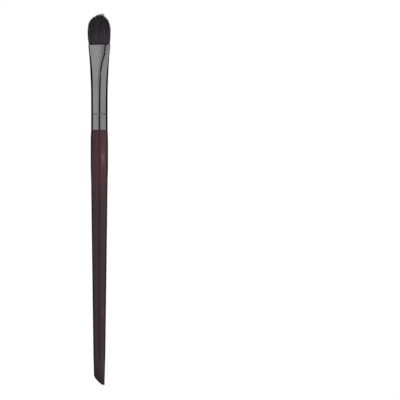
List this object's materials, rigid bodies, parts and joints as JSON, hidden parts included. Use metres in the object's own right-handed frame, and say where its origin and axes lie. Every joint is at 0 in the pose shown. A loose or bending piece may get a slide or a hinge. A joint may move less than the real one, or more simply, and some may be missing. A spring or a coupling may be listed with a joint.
{
  "type": "eyeshadow brush",
  "caption": "Flat eyeshadow brush: tapered wooden handle with a slanted end, dark metal ferrule pressed flat at the mouth, and a tongue-shaped fibre tuft.",
  "frame": {"origin": "on the brush's axis at the middle of the handle's straight belly, where a holder's ring grips it", "axes": "+Z along the brush from the slanted end to the tip of the tuft, +X across the flat head towards the long side of the slanted end, +Y through the head's thickness"},
  "size_m": [0.0112, 0.0082, 0.1746],
  "materials": {
    "stained_wood": "satin",
    "dark_plated_metal": "polished",
    "dark_fibre": "satin",
    "waxed_thread": "matte",
    "clear_resin": "gloss",
    "wood_glue": "satin"
  },
  "bodies": {
    "root": {"handle": "stained_wood", "ferrule": "dark_plated_metal", "fibre_tuft": "dark_fibre", "tie_thread": "waxed_thread", "resin_plug": "clear_resin", "tenon_glue": "wood_glue"}
  },
  "joints": []
}
